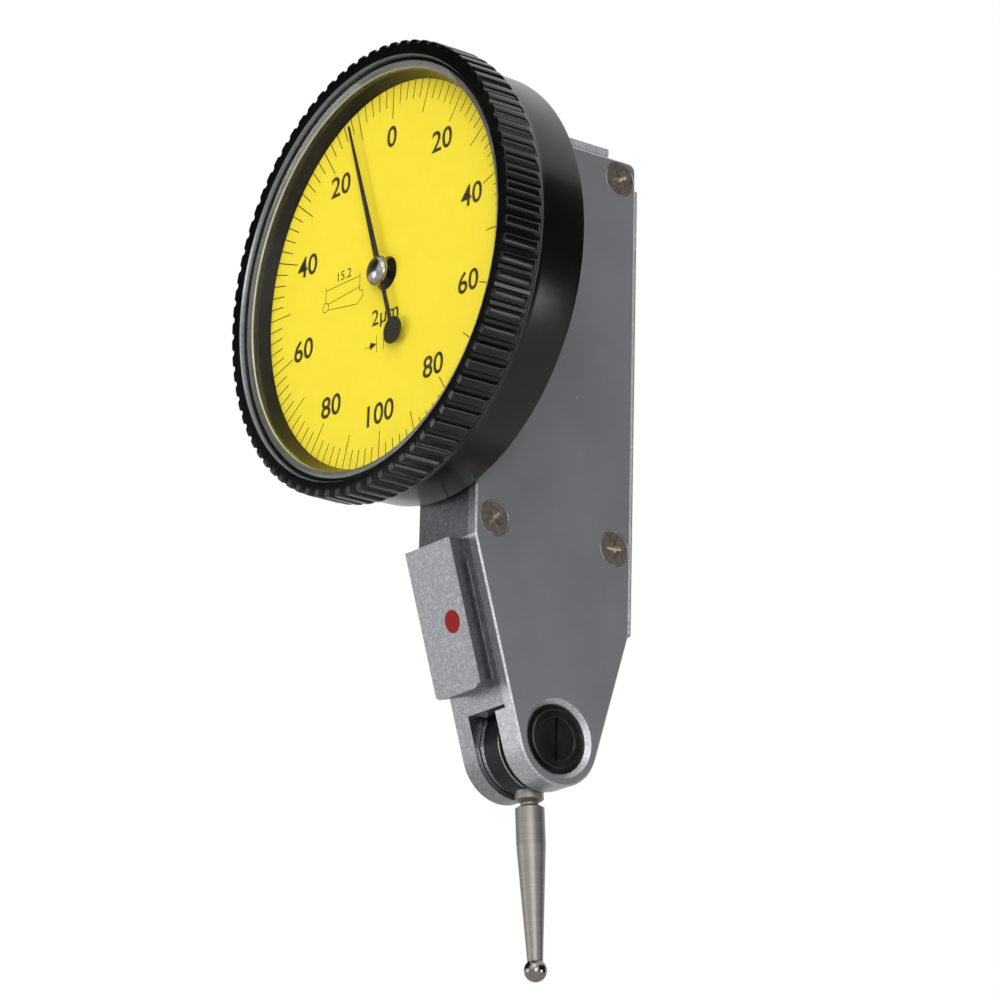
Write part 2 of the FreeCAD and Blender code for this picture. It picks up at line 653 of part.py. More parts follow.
# ---------------------------------------------------------------- crown gear and bridge
def crown_gear():
    """Thin wheel with face teeth that turn the pointer pinion."""
    tip = CROWN_X_PITCH + ADDENDUM * M2
    root = CROWN_X_PITCH - DEDENDUM * M2
    back = root - 0.45
    wheel = turned_x([(0.45, back - 0.07), (1.2, back - 0.07), (1.2, back), (5.5, back), (5.5, root),
                      (4.95, root), (4.85, root - 0.2), (1.4, root - 0.2), (1.2, root + 0.1),
                      (0.45, root + 0.1)], CROWN_Y, 0)
    spokes = 5
    for k in range(spokes):
        angle = 2 * math.pi * (k + 0.5) / spokes
        wheel = wheel.cut(cyl_x(CROWN_Y + 3.1 * math.cos(angle), 3.1 * math.sin(angle), 1.2, back - 1, tip))
    pitch = math.pi * M2
    teeth = []
    for i in range(CROWN_TEETH):
        tooth_face = Part.Face(Part.makePolygon([
            V(root - 0.1, CROWN_Y + 4.98, -0.30 * pitch), V(tip, CROWN_Y + 4.98, -0.12 * pitch),
            V(tip, CROWN_Y + 4.98, 0.12 * pitch), V(root - 0.1, CROWN_Y + 4.98, 0.30 * pitch),
            V(root - 0.1, CROWN_Y + 4.98, -0.30 * pitch)]))
        tooth = tooth_face.extrude(V(0, 0.5, 0))
        tooth.rotate(V(0, CROWN_Y, 0), X_AXIS, 180 + (i + 0.5) * 360 / CROWN_TEETH)
        teeth.append(tooth)
    return wheel.fuse(teeth)


def crown_arbor():
    """Arbor with the sector's pinion cut on it, between the casting and the bridge."""
    left = FLOOR_X - JEWEL_T + 0.03
    right = BRIDGE_X1 - 0.03
    arbor = turned_x([(0, left), (PIVOT_PIN_R, left), (PIVOT_PIN_R, FLOOR_X + 0.12),
                      (0.45, FLOOR_X + 0.12), (0.45, BRIDGE_X0 - 0.1), (PIVOT_PIN_R, BRIDGE_X0 - 0.1),
                      (PIVOT_PIN_R, right), (0, right)], CROWN_Y, 0)
    r = PINION_TEETH * M1 / 2
    aim = math.atan2(PIVOT.z, PIVOT.y - CROWN_Y)
    core = r - DEDENDUM * M1 - 0.02
    x0 = LEVER_X0 - 0.12
    x1 = LEVER_X1 + 0.12
    throat = turned_x([(core, x0), (1, x0), (1, x1), (core, x1)], CROWN_Y, 0)
    return arbor.cut(throat).fuse(pinion(CROWN_Y, 0, x0, x1, M1, aim))


def hairspring_collet():
    x0, x1 = 0.75, 1.25
    return turned_x([(0.45, x0), (COLLET_R, x0), (COLLET_R, x1), (0.45, x1)], CROWN_Y, 0)


def hairspring():
    """Flat spiral of half turns round two centres, from the collet to the stud."""
    x0, x1 = 0.85, 1.15
    thick = 0.07
    start = COLLET_R + FIT + thick / 2
    end = STUD_REACH - STUD_R
    growth = (end - start) / HAIRSPRING_HALVES
    outer = []
    inner = []
    centre = CROWN_Y
    for k in range(HAIRSPRING_HALVES):
        side = 1 if k % 2 == 0 else -1
        radius = start + k * growth
        for r, chain in ((radius + thick / 2, outer), (radius - thick / 2, inner)):
            chain.append(Part.Arc(V(x0, centre + side * r, 0), V(x0, centre, side * r),
                                  V(x0, centre - side * r, 0)).toShape())
        centre += side * growth
    ends = [Part.makeLine(outer[0].Vertexes[0].Point, inner[0].Vertexes[0].Point),
            Part.makeLine(outer[-1].Vertexes[-1].Point, inner[-1].Vertexes[-1].Point)]
    loop = Part.Wire(Part.__sortEdges__(outer + inner + ends))
    return Part.Face(loop).extrude(V(x1 - x0, 0, 0))


def jewel(centre, axis, thick):
    ring = Part.makeCylinder(JEWEL_R, thick, centre, axis)
    return ring.cut(Part.makeCylinder(PIVOT_PIN_R + FIT, thick, centre, axis))


def jewel_bearings():
    return Part.makeCompound([
        jewel(V(FLOOR_X - JEWEL_T, CROWN_Y, 0), X_AXIS, JEWEL_T),
        jewel(V(BRIDGE_X0, CROWN_Y, 0), X_AXIS, BRIDGE_X1 - BRIDGE_X0),
        jewel(V(0, COCK_Y0, 0), Y_AXIS, COCK_Y1 - COCK_Y0)])


def movement_bridge():
    """Bridge on two posts; its foot carries the rear jewel of the pointer arbor."""
    plate = prism_x([(COCK_Y0, -1.5), (COCK_Y0, 1.5), (-9.5, 2.2), (POST_Y - 1.2, POST_Z + 1.3),
                     (POST_Y + 1.3, POST_Z + 1.3), (POST_Y + 1.3, -POST_Z - 1.3),
                     (POST_Y - 1.2, -POST_Z - 1.3), (-9.5, -2.2)], BRIDGE_X0, BRIDGE_X1)
    foot = block(-0.75, BRIDGE_X0 + 0.1, COCK_Y0, COCK_Y1, -0.9, 0.9)
    plate = plate.fuse(foot)
    cuts = [cyl_x(CROWN_Y, 0, JEWEL_R, BRIDGE_X0 - 1, BRIDGE_X1 + 1),
            cyl_y(0, 0, JEWEL_R, COCK_Y0 - 1, COCK_Y1 + 1),
            prism_x([(POST_Y - 2.4, -2.6), (POST_Y - 2.4, 2.6), (POST_Y - 0.6, 3.2),
                     (POST_Y - 0.6, -3.2)], BRIDGE_X0 - 1, BRIDGE_X1 + 1),
            cyl_x(STUD[0], STUD[1], STUD_R, BRIDGE_X0 - 1, BRIDGE_X1 + 1)]
    for side in (-1, 1):
        cuts.append(cyl_x(POST_Y, side * POST_Z, 0.55, BRIDGE_X0 - 1, BRIDGE_X1 + 1))
    return plate.cut(cuts).removeSplitter()


def hairspring_stud():
    return cyl_x(STUD[0], STUD[1], STUD_R, 0.7, BRIDGE_X1)


def bridge_screws():
    screws = []
    for side in (-1, 1):
        screw = turned_x([(0, BRIDGE_X0 - 2.3), (0.48, BRIDGE_X0 - 2.3), (0.48, BRIDGE_X1),
                          (0.95, BRIDGE_X1), (0.95, BRIDGE_X1 + 0.4), (0.85, BRIDGE_X1 + 0.5),
                          (0, BRIDGE_X1 + 0.5)], POST_Y, side * POST_Z)
        slot = block(BRIDGE_X1 + 0.25, BRIDGE_X1 + 1, POST_Y - 1, POST_Y + 1,
                     side * POST_Z - 0.1, side * POST_Z + 0.1)
        screws.append(screw.cut(slot))
    return Part.makeCompound(screws)


# ---------------------------------------------------------------- dial case, bezel and dial
def dial_case():
    """Fixed cup behind the dial that the bezel turns on; its pad is screwed to the body."""
    back = depth(CASE_BACK)
    floor = back - CASE_FLOOR
    rim = depth(CASE_FRONT)
    wall = CASE_R - CASE_WALL
    groove_r = CASE_R - 0.75
    hub_r = 2.6
    hub_bore_r = 0.9
    fillet = 0.6
    cup = turned_y([
        (hub_bore_r, back), (CASE_R - 0.3, back), (CASE_R, back - 0.3),
        (CASE_R, depth(WIRE_Y + WIRE_GROOVE)), (groove_r, depth(WIRE_Y + WIRE_GROOVE)),
        (groove_r, depth(WIRE_Y - WIRE_GROOVE)), (CASE_R, depth(WIRE_Y - WIRE_GROOVE)),
        (CASE_R, rim), (wall, rim), (wall, floor - fillet), (wall - fillet, floor),
        (hub_r + fillet, floor), (hub_r, floor - fillet), (hub_r, rim), (hub_bore_r, rim)])
    pad = block(-PAD_HALF_X, PAD_HALF_X, back - 0.2, Y_NECK, -PAD_HALF_Z, PAD_HALF_Z)
    pad = pad.cut(cyl_y(0, 0, 1.6, back - 1, Y_NECK + 1))
    cup = cup.fuse(pad)
    for side in (-1, 1):
        cup = cup.cut(cyl_y(0, side * CASE_SCREW_Z, SCREW_R + SCREW_CLEAR, floor - 1, Y_NECK + 1))
    return cup.removeSplitter()


def case_screws():
    seat = depth(CASE_BACK) - CASE_FLOOR
    top = seat - CASE_HEAD_H
    end = Y_NECK + 2.0
    shank = SCREW_R - FIT
    screws = []
    for side in (-1, 1):
        z = side * CASE_SCREW_Z
        screw = turned_y([(0, top), (CASE_HEAD_R - 0.15, top), (CASE_HEAD_R, top + 0.15),
                          (CASE_HEAD_R, seat), (shank, seat), (shank, end), (0, end)])
        screw.translate(V(0, 0, z))
        slot = block(-2, 2, top - 1, top + 0.35, z - 0.18, z + 0.18)
        screws.append(screw.cut(slot))
    return Part.makeCompound(screws)


def bezel_spring():
    """Snap wire, open at the bottom, between the grooves of case and bezel."""
    ring = Part.makeTorus(WIRE_CENTRE_R, WIRE_R, V(0, depth(WIRE_Y), 0), Y_AXIS)
    gap = block(-1.5, 1.5, depth(WIRE_Y) - 1, depth(WIRE_Y) + 1, -BORE_R - 2, -BORE_R + 4)
    return ring.cut(gap)


def flute():
    """One groove between two lands, flared at its mouth so that the lands look rounded."""
    front = depth(-0.5)
    loop = [V(-w, front, r) for w, r in FLUTE_PROFILE] + [V(w, front, r) for w, r in FLUTE_PROFILE[::-1]]
    return Part.Face(Part.makePolygon(loop + loop[:1])).extrude(V(0, FLUTE_L + 0.5, 0))


def bezel():
    """Fluted ring with a smooth skirt; it holds crystal, seal and dial and snaps over the case."""
    ring = turned_y([
        (CRYSTAL_R + 0.35, depth(0)), (FLUTE_R - 0.45, depth(0)), (FLUTE_R - 0.12, depth(0.12)),
        (FLUTE_R, depth(0.45)), (FLUTE_R, depth(3.3)), (FLUTE_R - 0.3, depth(3.8)),
        (SKIRT_R, depth(4.5)), (SKIRT_END_R + 0.05, depth(BEZEL_L - 0.3)),
        (SKIRT_END_R - 0.2, depth(BEZEL_L)), (BORE_R + 0.2, depth(BEZEL_L)),
        (BORE_R, depth(BEZEL_L - 0.2)),
        (BORE_R, depth(WIRE_Y + WIRE_GROOVE)), (BORE_R + 0.25, depth(WIRE_Y + WIRE_GROOVE)),
        (BORE_R + 0.25, depth(WIRE_Y - WIRE_GROOVE)), (BORE_R, depth(WIRE_Y - WIRE_GROOVE)),
        (BORE_R, depth(DIAL_Y)), (LEDGE_R, depth(DIAL_Y)),
        (LEDGE_R, depth(CRYSTAL_Y + CRYSTAL_T + SEAL_T)),
        (CRYSTAL_R, depth(CRYSTAL_Y + CRYSTAL_T + SEAL_T)), (CRYSTAL_R, depth(0.3)),
        (CRYSTAL_R + 0.08, depth(0.1))])
    cutters = []
    for k in range(FLUTES):
        cutter = flute()
        cutter.rotate(V(0, 0, 0), Y_AXIS, (k + 0.5) * 360 / FLUTES)
        cutters.append(cutter)
    return ring.cut(cutters)


def crystal():
    y0 = depth(CRYSTAL_Y)
    y1 = y0 + CRYSTAL_T
    r = CRYSTAL_R
    return turned_y([(0, y0 - 0.12), (r - 0.65, y0 - 0.12), (r - 0.05, y0 + 0.28), (r - 0.05, y1), (0, y1)])


def crystal_seal():
    y0 = depth(CRYSTAL_Y + CRYSTAL_T)
    y1 = y0 + SEAL_T
    return turned_y([(LEDGE_R, y0), (CRYSTAL_R - 0.02, y0), (CRYSTAL_R - 0.02, y1), (LEDGE_R, y1)])


def dial_plate():
    y0 = depth(DIAL_Y)
    return turned_y([(1.5, y0), (BORE_R, y0), (BORE_R, y0 + DIAL_T), (1.5, y0 + DIAL_T)])


# ---------------------------------------------------------------- pointer
def face_on(points, y, thick):
    """Polygon of (x, z) points facing the dial's front, at depth y, turned to the rest angle."""
    loop = [V(x, depth(y), z) for x, z in points]
    solid = Part.Face(Part.makePolygon(loop + loop[:1])).extrude(V(0, thick, 0))
    solid.rotate(V(0, 0, 0), Y_AXIS, POINTER_ANGLE)
    return solid


def pointer():
    """Slim tapered needle with a counterweight disc on its tail."""
    y = POINTER_Y
    needle = face_on([(-0.09, POINTER_TIP), (0.09, POINTER_TIP), (0.32, 0.9), (0.2, 0),
                      (0.22, -POINTER_TAIL), (-0.22, -POINTER_TAIL), (-0.2, 0), (-0.32, 0.9)],
                     y, POINTER_T)
    disc = cyl_y(0, -POINTER_TAIL, POINTER_DISC_R, depth(y), depth(y) + POINTER_T)
    disc.rotate(V(0, 0, 0), Y_AXIS, POINTER_ANGLE)
    ring = cyl_y(0, 0, 1.0, depth(y), depth(y) + POINTER_T)
    return needle.fuse([disc, ring]).cut(cyl_y(0, 0, HUB_HOLE_R, depth(y) - 1, depth(y) + 1)).removeSplitter()


def pointer_cap():
    """Polished domed collet: its tube passes through the pointer and grips the arbor."""
    seat = depth(POINTER_Y)
    top = depth(1.2)
    dome = Part.makeSphere(2.3, V(0, top + 2.3, 0)).common(cyl_y(0, 0, 1.15, top - 1, seat))
    tube = cyl_y(0, 0, HUB_HOLE_R, seat, seat + 0.5)
    return dome.fuse(tube).cut(cyl_y(0, 0, ARBOR_R, seat - 0.1, seat + 1)).removeSplitter()


def pointer_arbor():
    front = depth(POINTER_Y) - 0.1
    pinion_0 = POINTER_PINION_Y - 0.35
    pinion_1 = POINTER_PINION_Y + 0.35
    r = PINION_TEETH * M2 / 2
    root = r - DEDENDUM * M2
    arbor = turned_y([(0, front), (ARBOR_R, front), (ARBOR_R, pinion_0 - 0.1), (root, pinion_0 - 0.1),
                      (root, pinion_1), (PIVOT_PIN_R, pinion_1 + 0.1), (PIVOT_PIN_R, COCK_Y1), (0, COCK_Y1)])
    loop = toothed_loop(r, M2, PINION_TEETH, math.pi, PINION_TEETH)
    points = [V(q * math.cos(a), pinion_0, q * math.sin(a)) for a, q in loop]
    toothed = Part.Face(Part.makePolygon(points + points[:1])).extrude(V(0, pinion_1 - pinion_0, 0))
    return arbor.fuse(toothed)


def arbor_bush():
    y0 = depth(CASE_FRONT) + 0.05
    y1 = y0 + 2.2
    return turned_y([(ARBOR_R + FIT, y0), (0.9, y0), (0.9, y1), (ARBOR_R + FIT, y1)])


# ---------------------------------------------------------------- red setting mark
def red_dot():
    """Shallow inlay on the front rail's face, to the right of its centre."""
    bend, down, out = front_flank()
    centre = bend + down * DOT_DOWN + out * (FRONT_RAIL_H - DOT_DEPTH) + X_AXIS * DOT_X
    return Part.makeCylinder(DOT_R, DOT_DEPTH, centre, out)


# ---------------------------------------------------------------- output
def write(name, shape):
    shape.exportStep("parts/" + name + ".step")
    solids = len(shape.Solids)
    print("%-20s solids %d  volume %.3f  valid %s" % (name, solids, shape.Volume, shape.isValid()))


def main():
    os.makedirs("parts", exist_ok=True)
    write("body_casting", body_casting())
    write("side_cover", side_cover())
    write("cover_screws", cover_screws())
    write("pivot_bearing_caps", pivot_bearing_caps())
    write("pivot_bearings", pivot_bearings())
    write("lever", lever())
    write("pivot_shaft", pivot_shaft())
    write("clutch_washer", clutch_washer())
    write("clutch_nut", clutch_nut())
    write("stylus_holder", stylus_holder())
    write("contact_stylus", contact_stylus())
    write("contact_ball", contact_ball())
    write("lever_stops", lever_stops())
    write("spring_post", spring_post())
    write("lever_spring", lever_spring())
    write("crown_gear", crown_gear())
    write("crown_arbor", crown_arbor())
    write("hairspring_collet", hairspring_collet())
    write("hairspring", hairspring())
    write("jewel_bearings", jewel_bearings())
    write("movement_bridge", movement_bridge())
    write("hairspring_stud", hairspring_stud())
    write("bridge_screws", bridge_screws())
    write("dial_case", dial_case())
    write("case_screws", case_screws())
    write("bezel_spring", bezel_spring())
    write("bezel", bezel())
    write("crystal", crystal())
    write("crystal_seal", crystal_seal())
    write("dial_plate", dial_plate())
    write("pointer", pointer())
    write("pointer_cap", pointer_cap())
    write("pointer_arbor", pointer_arbor())
    write("arbor_bush", arbor_bush())
    write("red_dot", red_dot())


main()
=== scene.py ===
# %% [markdown]
# # A lever-type dial test indicator
#
# The indicator is a small machinist's gauge: a satin metal body with dovetail rails, a black
# fluted bezel that turns round a yellow dial, and a ball-tipped stylus on a friction joint.
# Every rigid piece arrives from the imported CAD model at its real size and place.  This file
# gives those pieces their finishes, and models the pieces whose looks need soft edges,
# print or glass.  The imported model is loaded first, because everything is placed from it.

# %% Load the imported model
import math
import bmesh
import bpy
from mathutils import Matrix, Vector


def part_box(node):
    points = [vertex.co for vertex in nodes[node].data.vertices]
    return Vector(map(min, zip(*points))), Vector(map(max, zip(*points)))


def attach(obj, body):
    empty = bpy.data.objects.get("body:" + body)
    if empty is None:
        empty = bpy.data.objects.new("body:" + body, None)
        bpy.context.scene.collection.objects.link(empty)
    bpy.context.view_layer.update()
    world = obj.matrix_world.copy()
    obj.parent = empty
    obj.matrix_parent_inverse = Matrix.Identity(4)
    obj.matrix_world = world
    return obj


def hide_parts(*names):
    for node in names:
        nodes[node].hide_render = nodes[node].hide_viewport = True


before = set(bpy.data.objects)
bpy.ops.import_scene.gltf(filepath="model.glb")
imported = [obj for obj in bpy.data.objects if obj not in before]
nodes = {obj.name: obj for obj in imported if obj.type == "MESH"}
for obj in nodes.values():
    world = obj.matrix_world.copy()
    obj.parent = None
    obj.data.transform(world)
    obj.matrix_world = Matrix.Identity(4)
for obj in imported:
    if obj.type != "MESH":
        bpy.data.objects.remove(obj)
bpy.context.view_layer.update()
MM = 0.001

# %% [markdown]
# ## The measures everything else is placed from
#
# The dial's axis is the Y axis of the frame, and the dial faces -Y.  The bezel's box gives its
# front plane and radius, and the dial plate's box gives the face that the print lies on.

# %% Main measures
bezel_low, bezel_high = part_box("bezel")
dial_low, dial_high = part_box("dial_plate")
BEZEL_FRONT = bezel_low.y
BEZEL_R = bezel_high.x
DIAL_FACE = dial_low.y
print("bezel front y %.2f mm, radius %.2f mm, dial face y %.2f mm" % (
    BEZEL_FRONT / MM, BEZEL_R / MM, DIAL_FACE / MM))

# %% [markdown]
# ## Small helpers
#
# Colours are picked as sRGB hex values, the way a paint chart or a picture editor shows them.
# Cycles works in linear light, so one function turns hex into linear numbers.  A second one
# adds a shader node with its settings and links in one go, which keeps each material short.


# %% Colour and node helpers
def linear(hex_colour):
    """sRGB hex such as '#F2D926' as linear red, green, blue and alpha 1."""
    parts = [int(hex_colour[i:i + 2], 16) / 255 for i in (1, 3, 5)]
    return [c / 12.92 if c <= 0.04045 else ((c + 0.055) / 1.055) ** 2.4 for c in parts] + [1.0]


def add(tree, kind, links=None, **settings):
    """Adds a node: settings are attributes or input values, links are input name to output socket."""
    node = tree.nodes.new("ShaderNode" + kind)
    for name, value in settings.items():
        if hasattr(node, name):
            setattr(node, name, value)
    for name, value in settings.items():
        if not hasattr(node, name):
            node.inputs[name.replace("_", " ")].default_value = value
    for name, socket in (links or {}).items():
        tree.links.new(socket, node.inputs[name])
    return node


def new_material(name):
    """An empty node material with its Principled shader and the piece's own coordinates."""
    material = bpy.data.materials.new(name)
    material.use_nodes = True
    tree = material.node_tree
    tree.nodes.clear()
    output = add(tree, "OutputMaterial")
    shader = add(tree, "BsdfPrincipled")
    tree.links.new(shader.outputs["BSDF"], output.inputs["Surface"])
    place = add(tree, "TexCoord").outputs["Object"]
    return material, tree, shader, place


def ramp(tree, source, stops):
    """A colour ramp on a 0 to 1 value; stops are (position, hex colour)."""
    node = add(tree, "ValToRGB", {"Fac": source})
    while len(node.color_ramp.elements) < len(stops):
        node.color_ramp.elements.new(0.5)
    for element, (position, colour) in zip(node.color_ramp.elements, stops):
        element.position = position
        element.color = linear(colour)
    return node.outputs["Color"]


print("yellow #F2D926 in linear light:", [round(c, 3) for c in linear("#F2D926")])

# %% [markdown]
# ## Camera
#
# The gauge is seen from its right, from a little below, through a long lens, so that the dial,
# the cover plate and the stylus all show.  A wide lens close by would make the dial bulge; a
# 200 mm lens nearly half a metre away keeps the straight edges almost parallel.

# %% Camera
CAMERA_PLACE = Vector((359.6, -280.9, -168.65)) * MM
VIEW_RIGHT = Vector((0.6044, 0.7964, 0.0213)).normalized()
VIEW_BACK = Vector((0.7592, -0.5675, -0.3189)).normalized()
VIEW_UP = VIEW_BACK.cross(VIEW_RIGHT).normalized()
LENS = 199.49

lens = bpy.data.cameras.new("camera")
lens.lens = LENS
lens.sensor_width = 36.0
lens.clip_start = 0.01
lens.clip_end = 20.0
camera = bpy.data.objects.new("camera", lens)
bpy.context.scene.collection.objects.link(camera)
camera.matrix_world = Matrix.Translation(CAMERA_PLACE) @ Matrix(
    (VIEW_UP.cross(VIEW_BACK), VIEW_UP, VIEW_BACK)).transposed().to_4x4()
bpy.context.scene.camera = camera
bpy.context.scene.view_settings.view_transform = "Standard"
print("camera is %.0f mm from the dial" % (CAMERA_PLACE.length / MM))

# %% [markdown]
# ## Studio
#
# Four soft lamps over a pale floor are the plain way to show a metal tool.  The gauge hangs
# well above the floor, because it is held by its rail and is seen from below.  Metal shows
# what stands round it, so two dark cards, out of the camera's sight, draw the black lines
# and calm areas in the reflections that keep polished parts from looking like paper.


# %% Studio light
LAMP_AIM = (0, 0, -0.02)
CARD_AIM = (0, 0, 0)
CARD_BLACK = "#0A0A0A"
FLOOR_Z = -0.30
FLOOR_HALF = 3.0


def lamp(name, place, size, watts):
    """A soft rectangular lamp aimed at the middle of the gauge."""
    data = bpy.data.lights.new(name, "AREA")
    data.shape = "RECTANGLE"
    data.size, data.size_y = size
    data.energy = watts
    obj = bpy.data.objects.new(name, data)
    bpy.context.scene.collection.objects.link(obj)
    obj.location = place
    obj.rotation_euler = (Vector(place) - Vector(LAMP_AIM)).to_track_quat("Z", "Y").to_euler()


def card(name, place, size):
    """A flat dark card facing the gauge, seen in reflections only."""
    bm = bmesh.new()
    bmesh.ops.create_grid(bm, x_segments=1, y_segments=1, size=0.5)
    bmesh.ops.scale(bm, vec=(size[0], size[1], 1), verts=bm.verts)
    turn = (Vector(place) - Vector(CARD_AIM)).to_track_quat("Z", "Y").to_matrix().to_4x4()
    bmesh.ops.transform(bm, matrix=Matrix.Translation(place) @ turn, verts=bm.verts)
    mesh = bpy.data.meshes.new(name)
    bm.to_mesh(mesh)
    bm.free()
    obj = bpy.data.objects.new(name, mesh)
    bpy.context.scene.collection.objects.link(obj)
    material, _, shader, _ = new_material(name)
    shader.inputs["Base Color"].default_value = linear(CARD_BLACK)
    shader.inputs["Roughness"].default_value = 0.9
    mesh.materials.append(material)
    obj.visible_camera = False
    obj.visible_shadow = False
    obj.visible_diffuse = False


world = bpy.data.worlds.new("studio")
bpy.context.scene.world = world
world.use_nodes = True
sky = world.node_tree
sky.nodes.clear()
ray = add(sky, "LightPath")
seen = add(sky, "Math", {0: ray.outputs["Is Camera Ray"], 1: ray.outputs["Is Glossy Ray"]},
           operation="MAXIMUM")
seen = add(sky, "Math", {0: seen.outputs[0], 1: ray.outputs["Is Transmission Ray"]},
           operation="MAXIMUM")
fill = add(sky, "Background", Color=linear("#FFFFFF"), Strength=0.55)
white = add(sky, "Background", Color=linear("#FFFFFF"), Strength=1.0)
mixed = add(sky, "MixShader", {0: seen.outputs[0], 1: fill.outputs[0], 2: white.outputs[0]})
sky.links.new(mixed.outputs[0], add(sky, "OutputWorld").inputs["Surface"])

lamp("key_lamp", (0.55, -0.75, 0.65), (0.7, 0.7), 2.4)
lamp("side_lamp", (0.78, 0.42, -0.42), (0.5, 0.6), 5.5)
lamp("rail_lamp", (0.86, -0.55, -0.16), (0.4, 0.6), 3.2)
lamp("front_lamp", (-0.55, -0.95, -0.15), (0.5, 0.5), 1.8)
card("dark_card_front", (-0.84, -0.63, 0.66), (1.9, 1.05))
card("dark_card_side", (0.84, 0.63, 0.22), (1.7, 1.25))

bm = bmesh.new()
bmesh.ops.create_grid(bm, x_segments=1, y_segments=1, size=FLOOR_HALF)
bmesh.ops.translate(bm, vec=(0, 0, FLOOR_Z), verts=bm.verts)
floor_mesh = bpy.data.meshes.new("floor")
bm.to_mesh(floor_mesh)
bm.free()
floor = bpy.data.objects.new("floor", floor_mesh)
bpy.context.scene.collection.objects.link(floor)
paper, _, shader, _ = new_material("white_paper_sweep")
shader.inputs["Base Color"].default_value = linear("#F4F4F2")
shader.inputs["Roughness"].default_value = 0.9
floor_mesh.materials.append(paper)
print("lamps and cards are aimed, the floor is at", FLOOR_Z, "m")

# %% [markdown]
# ## Finishes
#
# Each finish starts from what the maker did to the metal.  Sizes of grain are real ones, given
# in millimetres, and `per_mm` turns a grain size into the scale that a noise texture wants.
# Where the real grain is finer than the picture can show, it is drawn a little coarser.


# %% Grain helpers
def per_mm(size_mm):
    """Noise scale whose features are about this many millimetres across."""
    return 1.0 / (size_mm * MM)


def grain(tree, place, size_mm, detail=2.0, stretch=(1, 1, 1)):
    """Noise value with features of this size, stretched along the axes if asked."""
    mapped = add(tree, "Mapping", {"Vector": place}, Scale=stretch)
    noise = add(tree, "TexNoise", {"Vector": mapped.outputs[0]},
                Scale=per_mm(size_mm), Detail=detail, Roughness=0.55)
    return noise.outputs["Fac"]


def bump(tree, shader, height, depth_mm, strength=1.0):
    """Relief of this real depth under the shader's light."""
    node = add(tree, "Bump", {"Height": height}, Distance=depth_mm * MM, Strength=strength)
    tree.links.new(node.outputs["Normal"], shader.inputs["Normal"])


def spread(tree, value, low, high):
    """Maps a 0 to 1 value onto a range, for roughness that varies over the surface."""
    return add(tree, "MapRange", {"Value": value}, To_Min=low, To_Max=high).outputs["Result"]


def tinted(tree, value, colours, stops=(0.3, 0.7)):
    """A colour that drifts between two or more hex colours as a 0 to 1 value goes past the stops."""
    return ramp(tree, value, list(zip(stops, colours)))


print("a 0.25 mm grain needs a noise scale of", per_mm(0.25))

# %% [markdown]
# ### Satin chrome on a fine-blasted casting
#
# The body is cast, blasted with fine grit and given a thin satin chrome.  The grit leaves a
# sparkle: tiny facets that catch the light one by one.  A cell pattern paints that sparkle,
# as each facet's own brightness in the base colour, and a shallow relief breaks up the reflections.


# %% Satin chrome casting
FACET_MM = 0.16
FACET_STOPS = (0.0, 0.6, 1.0)


def satin_chrome_casting():
    material, tree, shader, place = new_material("satin_chrome_casting")
    facets = add(tree, "TexVoronoi", {"Vector": place}, Scale=per_mm(FACET_MM))
    # the facet cells' brightness in the base colour is painted sparkle, glints from the grit's facets
    painted_sparkle = tinted(tree, facets.outputs["Color"], ("#86888C", "#96989C", "#B2B4B7"), FACET_STOPS)
    tree.links.new(painted_sparkle, shader.inputs["Base Color"])
    rough = spread(tree, grain(tree, place, 0.3), 0.3, 0.46)
    tree.links.new(rough, shader.inputs["Roughness"])
    shader.inputs["Metallic"].default_value = 1.0
    bump(tree, shader, grain(tree, place, 0.14), 0.006, 0.4)
    return material


# %% [markdown]
# ### Satin grey cover plate
# The cover is a flat sheet with a darker, even satin coat on its outer face.  Its cut edges
# and the fork ear's chamfer keep the bright metal, so the coat is laid on by the direction
# that a surface faces.  The bright metal carries the same painted sparkle as the casting.
# A few pinpoint marks keep the grey from being flat.


# %% Satin grey plate
def satin_grey_plate():
    material, tree, shader, place = new_material("satin_grey_plate")
    fine = grain(tree, place, 0.22, 1.0)
    coat = tinted(tree, grain(tree, place, 9.0, 3.0), ("#7A7B7F", "#86878B"))
    pits = add(tree, "TexVoronoi", {"Vector": place}, Scale=per_mm(2.6), Randomness=1.0)
    marks = add(tree, "MapRange", {"Value": pits.outputs["Distance"]},
                From_Min=0.028, From_Max=0.05, To_Min=0.45, To_Max=0.0)
    flecked = add(tree, "Mix", data_type="RGBA")
    tree.links.new(marks.outputs["Result"], flecked.inputs[0])
    tree.links.new(coat, flecked.inputs[6])
    flecked.inputs[7].default_value = linear("#A9A9AD")
    facing = add(tree, "SeparateXYZ", {"Vector": add(tree, "TexCoord").outputs["Normal"]})
    coated = add(tree, "MapRange", {"Value": facing.outputs["X"]}, From_Min=0.9, From_Max=0.97)
    facets = add(tree, "TexVoronoi", {"Vector": place}, Scale=per_mm(FACET_MM))
    # the bare metal's facet brightness is painted sparkle, as on the casting
    bare_metal_with_painted_sparkle = tinted(tree, facets.outputs["Color"], ("#A2A4A8", "#B8BABD", "#D2D4D7"), FACET_STOPS)
    whole = add(tree, "Mix", data_type="RGBA")
    tree.links.new(coated.outputs["Result"], whole.inputs[0])
    tree.links.new(bare_metal_with_painted_sparkle, whole.inputs[6])
    tree.links.new(flecked.outputs[2], whole.inputs[7])
    tree.links.new(whole.outputs[2], shader.inputs["Base Color"])
    tree.links.new(spread(tree, coated.outputs["Result"], 0.9, 0.35), shader.inputs["Metallic"])
    tree.links.new(spread(tree, fine, 0.34, 0.46), shader.inputs["Roughness"])
    bump(tree, shader, fine, 0.003, 0.4)
    return material


# %% [markdown]
# ### Plain machined metals
#
# Screws, shafts, springs and gears are turned or drawn metal.  One function covers them: two
# base colours that drift into each other, a roughness that follows them, and a fine grain.


